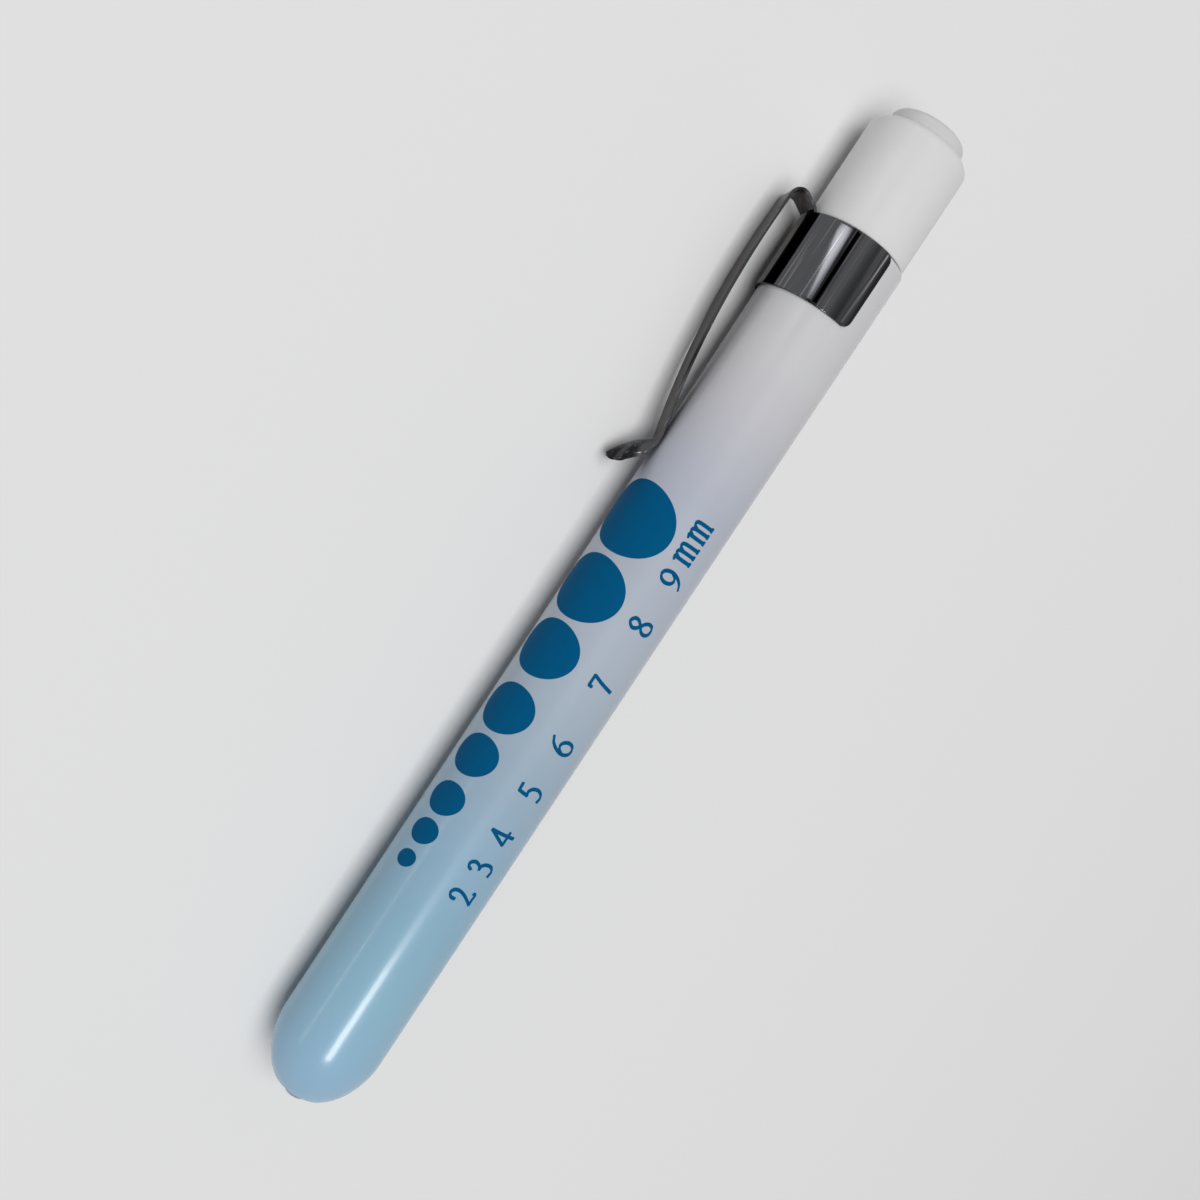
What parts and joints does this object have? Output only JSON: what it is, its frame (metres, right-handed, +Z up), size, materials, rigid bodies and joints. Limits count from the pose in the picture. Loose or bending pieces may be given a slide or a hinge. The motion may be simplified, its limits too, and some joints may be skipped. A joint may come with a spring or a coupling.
{
  "type": "penlight",
  "caption": "Slim pocket penlight with a rounded nose, a printed pupil-size scale, a sprung wrap-round pocket clip and a screw-on tail cap with a push switch.",
  "frame": {"origin": "centre of the lying pen's outline on the surface that it lies on", "axes": "+X along the pen to the lit nose, +Z up, the clip on the -Y side, low enough to rest on the surface"},
  "size_m": [0.136, 0.017, 0.0143],
  "materials": {
    "barrel_enamel": "gloss enamel",
    "clip_nickel": "dark mirror plating on spring steel",
    "cap_plastic": "smooth moulded",
    "button_plastic": "smooth moulded",
    "clear_epoxy": "clear cast",
    "tinned_lead": "tinned",
    "holder_nylon": "moulded",
    "contact_brass": "turned",
    "cell_steel": "nickel-plated",
    "cell_mix": "pressed powder",
    "cell_film": "shrunk film",
    "seal_plastic": "moulded",
    "spring_steel": "bright wire",
    "bush_plastic": "moulded"
  },
  "bodies": {
    "barrel": {"barrel": "barrel_enamel", "pocket_clip": "clip_nickel", "led_body": "clear_epoxy", "led_anode": "tinned_lead", "led_cathode": "tinned_lead", "led_holder": "holder_nylon", "earth_washer": "contact_brass", "front_contact": "contact_brass", "front_cell_can": "cell_steel", "front_cell_core": "cell_mix", "front_cell_seal": "seal_plastic", "front_cell_nub": "cell_steel", "front_cell_jacket": "cell_film", "rear_cell_can": "cell_steel", "rear_cell_core": "cell_mix", "rear_cell_seal": "seal_plastic", "rear_cell_nub": "cell_steel", "rear_cell_jacket": "cell_film"},
    "spring_seat": {"battery_spring": "spring_steel"},
    "tail": {"tail_cap": "cap_plastic", "tail_core": "contact_brass", "switch_bush": "bush_plastic", "contact_stud": "contact_brass", "snap_ring": "spring_steel", "return_spring": "spring_steel"},
    "button": {"push_button": "button_plastic", "contact_pin": "contact_brass", "pin_clip": "spring_steel"}
  },
  "joints": [
    {"name": "cap_advance", "type": "slide", "parent": "barrel", "child": "spring_seat", "axis": [-1, 0, 0], "range_m": [0, 0.005]},
    {"name": "cap_turn", "type": "hinge", "parent": "spring_seat", "child": "tail", "pos_m": [-0.05141, 0.00176, 0.00717], "axis": [-1, 0, 0], "range_deg": [0, 1800]},
    {"name": "button_press", "type": "slide", "parent": "tail", "child": "button", "axis": [1, 0, 0], "range_m": [0, 0.0015], "stiffness_N_per_m": 400, "springref_m": -0.002, "deforming": ["return_spring"]}
  ],
  "couplings": [
    {"joint": "cap_advance", "follows": "cap_turn", "m_per_rad": 0.00015915}
  ]
}
